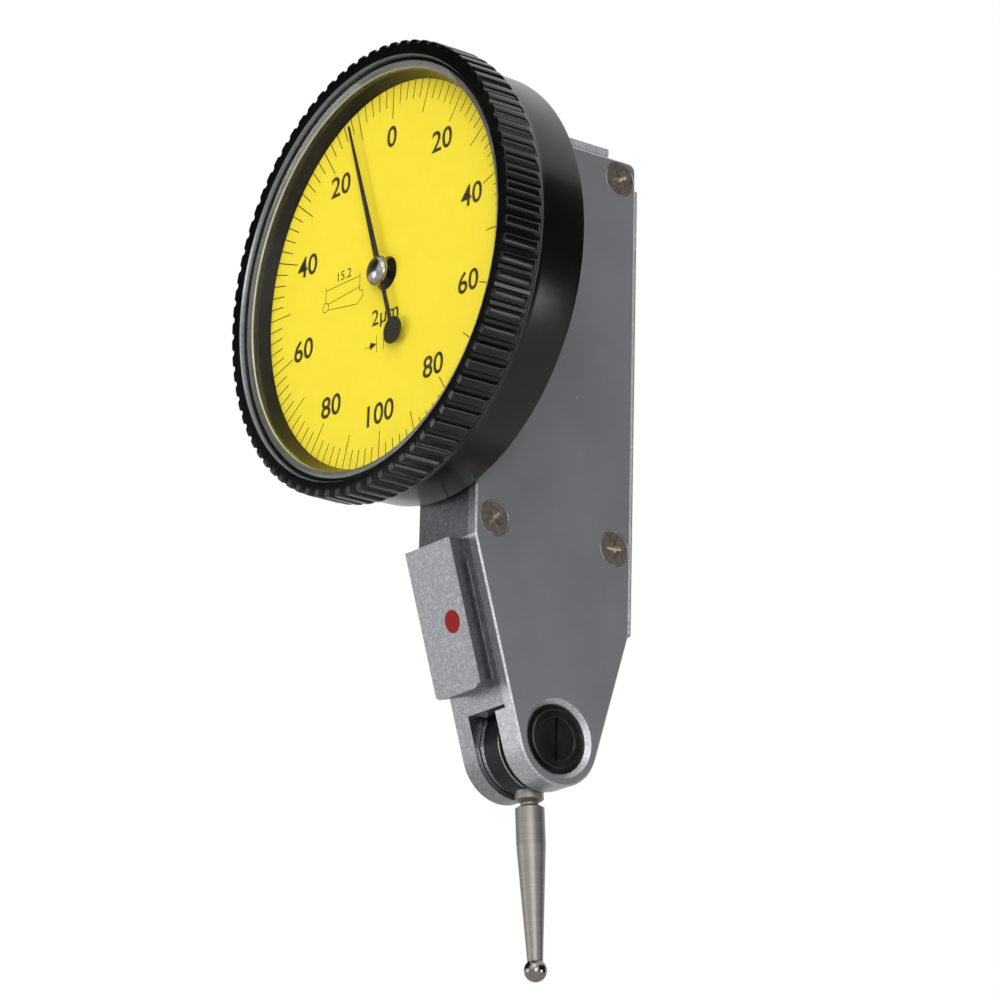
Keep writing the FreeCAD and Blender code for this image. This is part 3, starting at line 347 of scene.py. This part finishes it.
# %% Machined metal
def machined_metal(name, colours, roughness, size_mm, depth_mm=0.003):
    material, tree, shader, place = new_material(name)
    fine = grain(tree, place, size_mm, 3.0)
    tree.links.new(tinted(tree, fine, colours), shader.inputs["Base Color"])
    tree.links.new(spread(tree, fine, roughness * 0.8, roughness * 1.25), shader.inputs["Roughness"])
    shader.inputs["Metallic"].default_value = 1.0
    bump(tree, shader, fine, depth_mm, 0.5)
    return material


# %% [markdown]
# ### Turned stylus steel
#
# The stylus was turned on a lathe, so its fine lines run round it.  Noise squeezed hard along
# the stylus's own axis gives rings.  A Mapping node tilts the pattern to that axis.


# %% Turned steel
STYLUS_TILT = math.radians(3.9)
RING_STRETCH = (0.02, 0.02, 5.0)


def turned_stylus_steel():
    material, tree, shader, place = new_material("turned_stylus_steel")
    tilted = add(tree, "Mapping", {"Vector": place}, Rotation=(-STYLUS_TILT, 0, 0))
    rings = grain(tree, tilted.outputs[0], 1.2, 2.0, RING_STRETCH)
    tree.links.new(tinted(tree, rings, ("#8B8782", "#999590")), shader.inputs["Base Color"])
    tree.links.new(spread(tree, rings, 0.42, 0.5), shader.inputs["Roughness"])
    shader.inputs["Metallic"].default_value = 1.0
    bump(tree, shader, rings, 0.001, 0.3)
    return material


# %% [markdown]
# ### Blacks
#
# The bezel is a hard gloss black, the case behind it is satin anodised, and the pivot caps
# and the stylus holder carry a thin black oxide.  All of them get their life from roughness
# that drifts a little, as fingers and cleaning leave it.  Shine is the strength of the
# reflection straight on: 0.5 is plain for a smooth surface, and a dusty one has less.


# %% Black finishes
def black_finish(name, colours, roughness, size_mm, metallic=0.0, shine=0.5):
    material, tree, shader, place = new_material(name)
    shader.inputs["Specular IOR Level"].default_value = shine
    drift = grain(tree, place, size_mm, 3.0)
    tree.links.new(tinted(tree, drift, colours), shader.inputs["Base Color"])
    tree.links.new(spread(tree, drift, roughness * 0.8, roughness * 1.3), shader.inputs["Roughness"])
    shader.inputs["Metallic"].default_value = metallic
    bump(tree, shader, grain(tree, place, 0.2, 1.0), 0.002, 0.4)
    return material


# %% [markdown]
# ### Enamel, clear acrylic, ruby and rubber
#
# The dial is a silk yellow enamel with the faintest mottle, and the seal's grey rubber is
# mottled in the same way.  The window is clear acrylic, and the jewels are synthetic ruby.


# %% Enamel and clear parts
def enamel(name, colours, roughness, shine=0.5):
    material, tree, shader, place = new_material(name)
    shader.inputs["Specular IOR Level"].default_value = shine
    mottle = grain(tree, place, 1.4, 3.0)
    tree.links.new(tinted(tree, mottle, colours), shader.inputs["Base Color"])
    tree.links.new(spread(tree, mottle, roughness * 0.85, roughness * 1.2), shader.inputs["Roughness"])
    bump(tree, shader, grain(tree, place, 0.25, 1.0), 0.002, 0.3)
    return material


def clear(name, colour, ior, roughness, coat=0.0):
    material, tree, shader, place = new_material(name)
    shader.inputs["Coat Weight"].default_value = coat
    shader.inputs["Coat Roughness"].default_value = 0.02
    shader.inputs["Base Color"].default_value = linear(colour)
    shader.inputs["Transmission Weight"].default_value = 1.0
    shader.inputs["IOR"].default_value = ior
    smears = grain(tree, place, 5.0, 2.0)
    tree.links.new(spread(tree, smears, roughness * 0.5, roughness * 1.5), shader.inputs["Roughness"])
    return material


# %% [markdown]
# ### Give every CAD piece its finish
#
# Each finish is made once, and one table says which CAD piece wears it.  A piece keeps the
# material slots that it came with, and every slot is given the same finish, so the hidden
# movement is dressed as well as the outside.

# %% Finishes of the CAD pieces
casting = satin_chrome_casting()
plate_finish = satin_grey_plate()
nickel = machined_metal("nickel_plated_steel", ("#BEB2A6", "#DCD2C6"), 0.34, 0.35)
steel = machined_metal("ground_bearing_steel", ("#9A9A9C", "#C2C2C4"), 0.26, 0.25)
spring = machined_metal("drawn_spring_steel", ("#85868A", "#ABABAF"), 0.3, 0.25)
carbide = machined_metal("polished_carbide", ("#7C7A77", "#949290"), 0.16, 0.5, depth_mm=0.001)
silver = machined_metal("polished_nickel_silver", ("#9A9894", "#B4B2AE"), 0.18, 0.5, depth_mm=0.001)
brass = machined_metal("machined_brass", ("#B08A45", "#D2AE66"), 0.3, 0.25)
stylus_steel = turned_stylus_steel()
oxide = black_finish("black_oxide_steel", ("#0D0D0E", "#1B1B1D"), 0.34, 2.0, 0.2)
holder_black = black_finish("blue_black_oxide_steel", ("#111318", "#1A1E25"), 0.4, 2.5, shine=0.2)
bezel_black = black_finish("gloss_black_bezel", ("#050506", "#0A0A0B"), 0.24, 6.0, shine=0.4)
turned = machined_metal("bright_turned_aluminium", ("#7C7E80", "#8E9092"), 0.32, 0.4)
gasket = enamel("grey_gasket", ("#4E4F4D", "#5C5D5A"), 0.5)
# cream for the seal's inner edge: a painted reflection, not the rubber's colour
painted_reflection_edge = enamel("cream_painted_reflection_edge", ("#B4B5A0", "#C6C7B2"), 0.4)
case_black = black_finish("satin_black_anodised_aluminium", ("#0D0D0F", "#161618"), 0.42, 3.0)
pointer_black = black_finish("matt_black_pointer", ("#0B0B0A", "#141412"), 0.5, 1.0)
yellow = enamel("yellow_dial_enamel", ("#F2D926", "#F5DE30"), 0.6)
red = enamel("red_enamel", ("#8A0B07", "#A0120B"), 0.4, 0.15)
acrylic = clear("clear_acrylic_window", "#FCFDFC", 1.0, 0.005, coat=1.0)
ruby = clear("synthetic_ruby", "#C8203C", 1.77, 0.02)

FINISH_OF = {
    "body_casting": casting, "side_cover": plate_finish, "cover_screws": nickel,
    "pivot_bearing_caps": oxide, "pivot_bearings": steel, "lever": steel, "pivot_shaft": steel,
    "clutch_washer": steel, "clutch_nut": brass, "stylus_holder": holder_black,
    "contact_stylus": stylus_steel, "contact_ball": carbide, "lever_stops": spring,
    "spring_post": spring, "lever_spring": spring, "crown_gear": brass, "crown_arbor": steel,
    "hairspring_collet": brass, "hairspring": spring, "jewel_bearings": ruby,
    "movement_bridge": brass, "hairspring_stud": brass, "bridge_screws": spring,
    "dial_case": case_black, "case_screws": nickel, "bezel_spring": spring, "bezel": bezel_black,
    "crystal": acrylic, "crystal_seal": gasket, "dial_plate": yellow, "pointer": pointer_black,
    # the brass arbor bush under the dial's hole wears black oxide as painted shade for the shadow it
    # lies in
    "pointer_cap": silver, "pointer_arbor": oxide, "arbor_bush": oxide, "red_dot": red,
}
for node_name, finish in FINISH_OF.items():
    mesh = nodes[node_name].data
    if not mesh.materials:
        mesh.materials.append(finish)
    for index in range(len(mesh.materials)):
        mesh.materials[index] = finish
print(len(FINISH_OF), "of", len(nodes), "CAD pieces have a finish")

# %% [markdown]
# ## Modelled pieces
#
# A piece made here is a bmesh that becomes an object at the origin.  One helper closes the
# mesh, points its faces outwards, marks its crisp edges and lets it ride on the body that
# carries it.  The others spin an outline about the dial's axis, give some faces a second
# finish, and find a point on the dial.


# %% Piece helpers
def piece(name, bm, finish, body, crisp_degrees=35.0, tidy=True):
    """Turns a bmesh into a finished piece that rides on a body."""
    if tidy:
        bmesh.ops.remove_doubles(bm, verts=bm.verts, dist=0.0005 * MM)
        bmesh.ops.recalc_face_normals(bm, faces=bm.faces)
    for face in bm.faces:
        face.smooth = True
    mesh = bpy.data.meshes.new(name)
    bm.to_mesh(mesh)
    bm.free()
    mesh.set_sharp_from_angle(angle=math.radians(crisp_degrees))
    mesh.materials.append(finish)
    obj = bpy.data.objects.new(name, mesh)
    bpy.context.scene.collection.objects.link(obj)
    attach(obj, body)
    return obj


def spin_outline(outline, steps):
    """A closed outline of (radius, depth behind the bezel's front) in mm, spun about the dial."""
    bm = bmesh.new()
    ring = [bm.verts.new((r * MM, BEZEL_FRONT + d * MM, 0)) for r, d in outline]
    edges = [bm.edges.new((ring[i - 1], ring[i])) for i in range(len(ring))]
    bmesh.ops.spin(bm, geom=ring + edges, cent=(0, 0, 0), axis=(0, 1, 0), dvec=(0, 0, 0),
                   angle=2 * math.pi, steps=steps, use_merge=True, use_duplicate=False)
    return bm


def second_finish(obj, finish, wanted):
    """Gives a second finish to the faces that are wanted, by their radius and depth in mm."""
    obj.data.materials.append(finish)
    for face in obj.data.polygons:
        radius = math.hypot(face.center.x, face.center.z) / MM
        depth = (face.center.y - BEZEL_FRONT) / MM
        if wanted(radius, depth):
            face.material_index = 1


def on_dial(angle_degrees, radius_mm):
    """Point on the dial's face, by its clockwise angle from twelve o'clock and its radius."""
    a = math.radians(angle_degrees)
    return Vector((math.sin(a) * radius_mm * MM, DIAL_FACE, math.cos(a) * radius_mm * MM))


print("three o'clock at 10 mm:", [round(v / MM, 2) for v in on_dial(90, 10)])

# %% [markdown]
# ### The fluted bezel
#
# The grip ring has 80 lands with shallow grooves between them, then a step down to a smooth
# skirt.  A straight way is to cut 80 grooves with a boolean, but that leaves hard, dull edges.
# Here the section of the ring is spun in uneven steps instead: most of the steps gather at
# the sides of a groove, so each land gets soft shoulders for the light to run along.  Inside
# the front edge the lip is turned bright, and below the window a black wall narrows to the dial.

# %% Fluted bezel
FLUTES = 80
LAND_R = round(BEZEL_R / MM, 3)
GROOVE_DROP = 0.36
GROOVE_END = 3.8
LIP_R = 18.69
LIP_FOOT_R = LIP_R - 0.15
LIP_DEPTH = 0.4
SEAL_R = 18.28
WALL_TOP_R = 17.69
WALL_FOOT_R = 17.1
WALL_TOP = 0.79
SNAP_R = 18.2
SNAP_CUT = 0.25
SKIRT_END = round((bezel_high.y - BEZEL_FRONT) / MM, 3)
DIAL_DEPTH = (DIAL_FACE - BEZEL_FRONT) / MM
WALL_END = DIAL_DEPTH - 0.02
PITCH_MM = 2 * math.pi * LAND_R / FLUTES
# across one pitch: distance from the land's middle, and how far the surface lies below the land
HALF_LAND = [(0.0, 0.0), (0.28, 0.01), (0.4, 0.06), (0.5, 0.18), (0.57, 0.3), (0.63, GROOVE_DROP)]
COLUMNS = (HALF_LAND + [(PITCH_MM / 2, GROOVE_DROP)]
           + [(PITCH_MM - u, drop) for u, drop in HALF_LAND[:0:-1]])

# the ring's section: lip, rounded crest and grip, step, skirt, snap groove, wall, seal's seat
section = [
    (LIP_FOOT_R, LIP_DEPTH), (LIP_R - 0.07, LIP_DEPTH / 2), (LIP_R, 0.03), (LIP_R + 0.04, 0.0),
    (19.17, 0.0), (19.9, 0.05), (19.97, 0.1), (LAND_R, 0.2), (LAND_R, 3.2), (19.95, 3.45),
    (19.8, 3.65), (19.68, GROOVE_END - 0.01), (19.66, GROOVE_END),
    (19.45, 4.0), (19.25, 4.2), (19.13, 4.5), (19.1, 4.9),
    (18.97, 8.6), (18.9, 8.88), (18.7, SKIRT_END), (18.4, SKIRT_END), (SNAP_R, 8.8),
    (SNAP_R, 7.64), (SNAP_R + SNAP_CUT, 7.64), (SNAP_R + SNAP_CUT, 6.96), (SNAP_R, 6.96),
    (SNAP_R, WALL_END), (WALL_FOOT_R, WALL_END), (WALL_TOP_R, WALL_TOP),
    (SEAL_R + 0.01, WALL_TOP), (SEAL_R + 0.01, LIP_DEPTH + 0.02), (LIP_FOOT_R, LIP_DEPTH + 0.02)]
columns_round = FLUTES * len(COLUMNS)
bm = spin_outline(section, columns_round)
step = 2 * math.pi / columns_round
for vert in bm.verts:
    radius = math.hypot(vert.co.x, vert.co.z)
    column = round(math.atan2(-vert.co.z, vert.co.x) / step) % columns_round
    flute, place_in_pitch = divmod(column, len(COLUMNS))
    across, drop = COLUMNS[place_in_pitch]
    angle = (flute * PITCH_MM + across) / LAND_R
    depth_mm = (vert.co.y - BEZEL_FRONT) / MM
    if depth_mm < GROOVE_END - 0.005:
        radius = min(radius, (LAND_R - drop) * MM)
    vert.co.x = radius * math.cos(angle)
    vert.co.z = -radius * math.sin(angle)
bezel = piece("fluted_bezel", bm, bezel_black, "bezel", 32.0)
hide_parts("bezel")
second_finish(bezel, turned, lambda r, d: LIP_R - 0.2 < r < LIP_R and d < LIP_DEPTH)
print("bezel:", len(bezel.data.polygons), "faces")

# %% [markdown]
# ### Window and its seal
#
# The window is a plug of clear acrylic with a thin rim that sits on a grey seal.  The seal's
# inner edge carries a cream band that is a painted reflection.  A real flat window only makes
# the dial look a little nearer.  Here the clear body has an index of 1.0 and bends nothing,
# because the imported dial already stands that much nearer.  A clear coat gives the shine,
# and the window casts no shadow on the dial.

# %% Window and seal
RING_STEPS = 240
SEAL_FOOT = WALL_TOP - 0.01
seal_outline = [(WALL_TOP_R + 0.02, 0.61), (WALL_TOP_R + 0.14, 0.59), (SEAL_R - 0.05, 0.5),
                (SEAL_R, 0.53), (SEAL_R, SEAL_FOOT), (WALL_TOP_R, SEAL_FOOT)]
seal = piece("window_seal", spin_outline(seal_outline, RING_STEPS), gasket, "bezel", 50.0)
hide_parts("crystal_seal")
# the seal's inner edge gets the cream painted reflection
second_finish(seal, painted_reflection_edge, lambda r, d: r < WALL_TOP_R + 0.03)

WINDOW_BACK = 1.03
window_outline = [(0.0, 0.34), (15.0, 0.36), (17.6, 0.42), (18.2, 0.46), (18.26, 0.48),
                  (18.24, 0.49), (WALL_TOP_R, 0.59), (WALL_TOP_R - 0.06, 0.64),
                  (WALL_TOP_R - 0.08, 1.0), (17.5, WINDOW_BACK), (0.0, WINDOW_BACK)]
window = piece("window", spin_outline(window_outline, RING_STEPS), acrylic, "bezel", 40.0)
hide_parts("crystal")
window.visible_shadow = False
print("window and seal seated at", SEAL_R, "mm")

# %% [markdown]
# ### The pointer's domed cap
#
# The collet that grips the pointer has a polished, nearly round head, a little wider than its
# shank, which is the brightest spot on the dial.

# %% Pointer cap
CAP_R = 1.34
CAP_SEAT = 1.5
CAP_EDGE = 0.12
DOME_H = 0.75
DOME_STEPS = 12
dome = []
for k in range(DOME_STEPS + 1):
    rise = math.radians(90 * k / DOME_STEPS)
    dome.append((CAP_R * math.cos(rise), CAP_SEAT - CAP_EDGE - DOME_H * math.sin(rise)))
dome[-1] = (0.0, dome[-1][1])
cap_outline = [(0.0, CAP_SEAT), (CAP_R - 0.1, CAP_SEAT)] + dome
cap = piece("polished_pointer_cap", spin_outline(cap_outline, 64), silver, "pointer", 50.0)
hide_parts("pointer_cap")
print("cap", 2 * CAP_R, "mm across")

# %% [markdown]
# ### Print on the dial
#
# The dial is printed in dark ink.  A hundred divisions run out to the rim, every fifth one
# longer, and the numbers count up both ways from the top.  Print has next to no thickness, but
# real geometry stays sharp from any distance, so each line is a thin block on the enamel.

# %% Scale of a hundred divisions
DIVISIONS = 100
LONG_EVERY = 5
INK_T = 0.012
LINE_W = 0.09
DIAL_TURN = 1.2            # the bezel was last left turned this far clockwise
SHORT_LINE_R = 15.4
LONG_LINE_R = 14.14
LINE_END_R = 17.4
ink = black_finish("dial_printing_ink", ("#201C06", "#2B2609"), 0.6, 0.8)


def turn_by(bm, verts, angle, axis="Y"):
    """Turns points about an axis through the origin, by an angle in degrees."""
    matrix = Matrix.Rotation(math.radians(angle), 3, axis)
    bmesh.ops.rotate(bm, cent=(0, 0, 0), matrix=matrix, verts=verts)


def division(bm, inner_r, angle):
    """One printed line along a radius, from this radius out to the end of the scale."""
    made = bmesh.ops.create_cube(bm, size=1.0)["verts"]
    bmesh.ops.scale(bm, vec=(LINE_W * MM, INK_T * MM, (LINE_END_R - inner_r) * MM), verts=made)
    middle_r = (inner_r + LINE_END_R) / 2
    bmesh.ops.translate(bm, vec=(0, DIAL_FACE - INK_T * MM / 2, middle_r * MM), verts=made)
    turn_by(bm, made, angle)


bm = bmesh.new()
for i in range(DIVISIONS):
    inner = LONG_LINE_R if i % LONG_EVERY == 0 else SHORT_LINE_R
    division(bm, inner, DIAL_TURN + i * 360 / DIVISIONS)
piece("dial_divisions", bm, ink, "bezel")
print(DIVISIONS, "divisions printed")

# %% [markdown]
# ### Numbers
#
# Text starts as a font curve and becomes a mesh before it is put in its place.  Its height is
# then set from the mesh itself, because a font's nominal size isn't the height of its digits.


# %% Numbers on the dial
NUMBERS = 10
COUNT_STEP = 20
NUMBER_R = 12.5
NUMBER_H = 1.95
NUMBER_WEIGHT = 0.012
TEXT_WIDEN = 1.1           # the dial's letters are a little wider than the font's


def printed_text(name, words, centre, height_mm, weight=0.0):
    """Text of this height, printed flat on the dial about a point; weight thickens its strokes."""
    curve = bpy.data.curves.new(name, "FONT")
    curve.body = words
    curve.offset = weight
    curve.align_x = "CENTER"
    curve.align_y = "CENTER"
    curve.resolution_u = 4
    holder = bpy.data.objects.new(name, curve)
    bpy.context.scene.collection.objects.link(holder)
    bpy.context.view_layer.update()
    graph = bpy.context.evaluated_depsgraph_get()
    mesh = bpy.data.meshes.new_from_object(holder.evaluated_get(graph))
    bpy.data.objects.remove(holder)
    bm = bmesh.new()
    bm.from_mesh(mesh)
    bpy.data.meshes.remove(mesh)
    tall = [v.co.y for v in bm.verts]
    wide = [v.co.x for v in bm.verts]
    scale = height_mm * MM / (max(tall) - min(tall))
    to_middle = (-(max(wide) + min(wide)) / 2, -(max(tall) + min(tall)) / 2, 0)
    bmesh.ops.translate(bm, vec=to_middle, verts=bm.verts)
    bmesh.ops.scale(bm, vec=(scale * TEXT_WIDEN, scale, 1), verts=bm.verts)
    made = bmesh.ops.extrude_face_region(bm, geom=bm.faces)["geom"]
    raised = [part for part in made if isinstance(part, bmesh.types.BMVert)]
    bmesh.ops.translate(bm, vec=(0, 0, INK_T * MM), verts=raised)
    turn_by(bm, bm.verts, 90, "X")
    bmesh.ops.translate(bm, vec=centre, verts=bm.verts)
    turn_by(bm, bm.verts, DIAL_TURN)
    piece(name, bm, ink, "bezel")


for i in range(NUMBERS):
    value = COUNT_STEP * min(i, NUMBERS - i)
    angle = i * 360 / NUMBERS
    name = "number_%d_at_%d" % (value, angle)
    printed_text(name, str(value), on_dial(angle, NUMBER_R), NUMBER_H, NUMBER_WEIGHT)
print("numbers stand on a circle of radius", NUMBER_R, "mm")

# %% [markdown]
# ### Unit and stylus length
#
# Below the middle stands the value of one division, over a pair of arrows that mark its width.
# To the left a small drawing gives the length of stylus that the scale is made for.  Both
# drawings are made from straight strokes, and the stylus's ball from a ring of short ones.

# %% Unit and stylus sketch
STROKE_W = 0.06
printed_text("unit_mark", "2\u00b5m", Vector((0.1 * MM, DIAL_FACE, -3.85 * MM)), 1.75, 0.006)
printed_text("length_mark", "15.2", Vector((-6.2 * MM, DIAL_FACE, 1.55 * MM)), 0.85)


def stroke(bm, start, end, width=STROKE_W):
    """One straight printed line between two (x, z) points on the dial, in mm."""
    run = Vector((end[0] - start[0], 0, end[1] - start[1])) * MM
    made = bmesh.ops.create_cube(bm, size=1.0)["verts"]
    bmesh.ops.scale(bm, vec=(width * MM, INK_T * MM, run.length + width * MM), verts=made)
    turn_by(bm, made, math.degrees(math.atan2(run.x, run.z)))
    middle_x = (start[0] + end[0]) / 2 * MM
    middle_z = (start[1] + end[1]) / 2 * MM
    bmesh.ops.translate(bm, vec=(middle_x, DIAL_FACE - INK_T * MM / 2, middle_z), verts=made)


def joined_strokes(bm, points):
    """Strokes from each point to the next one."""
    for start, end in zip(points, points[1:]):
        stroke(bm, start, end)


LEFT = -8.85
RIGHT = -3.85
BALL_Z = -0.65
BALL_R = 0.42
BALL_STEPS = 16
GAP_X = -0.6
GAP_HALF = 0.5
GAP_LINE = 0.75
ARROW_Z = -6.1
ARROW_START = 2.2
ARROW_END = 0.7
HEAD_TIP = 0.75
HEAD_STEPS = 4
HEAD_STEP = 0.2
HEAD_FLARE = 0.07
bm = bmesh.new()
stroke(bm, (LEFT, 0.9), (RIGHT, 0.9))
stroke(bm, (LEFT, 1.15), (LEFT, BALL_Z + BALL_R))
stroke(bm, (RIGHT, 1.15), (RIGHT, -0.45))
stroke(bm, (LEFT + 0.4, -0.4), (RIGHT, -0.1))
joined_strokes(bm, [(LEFT + 0.4, -0.95), (RIGHT - 0.3, -1.6), (RIGHT, -1.35)])
joined_strokes(bm, [(RIGHT, -0.45), (RIGHT + 0.5, -0.55), (RIGHT + 0.5, -1.15), (RIGHT, -1.35)])
for side in (-1, 1):
    gap_edge = side * GAP_HALF + GAP_X
    stroke(bm, (gap_edge, ARROW_Z + GAP_LINE), (gap_edge, ARROW_Z - GAP_LINE))
    stroke(bm, (side * ARROW_START + GAP_X, ARROW_Z), (side * ARROW_END + GAP_X, ARROW_Z))
    for k in range(HEAD_STEPS):
        head_x = side * (HEAD_TIP + HEAD_STEP * k) + GAP_X
        flare = HEAD_FLARE * k
        stroke(bm, (head_x, ARROW_Z + flare), (head_x, ARROW_Z - flare), HEAD_STEP)
ball_ring = []
for k in range(BALL_STEPS + 1):
    around = 2 * math.pi * k / BALL_STEPS
    ball_ring.append((LEFT + BALL_R * math.cos(around), BALL_Z + BALL_R * math.sin(around)))
joined_strokes(bm, ball_ring)
piece("stylus_sketch", bm, ink, "bezel", tidy=False)
print("sketch drawn with", STROKE_W, "mm lines")
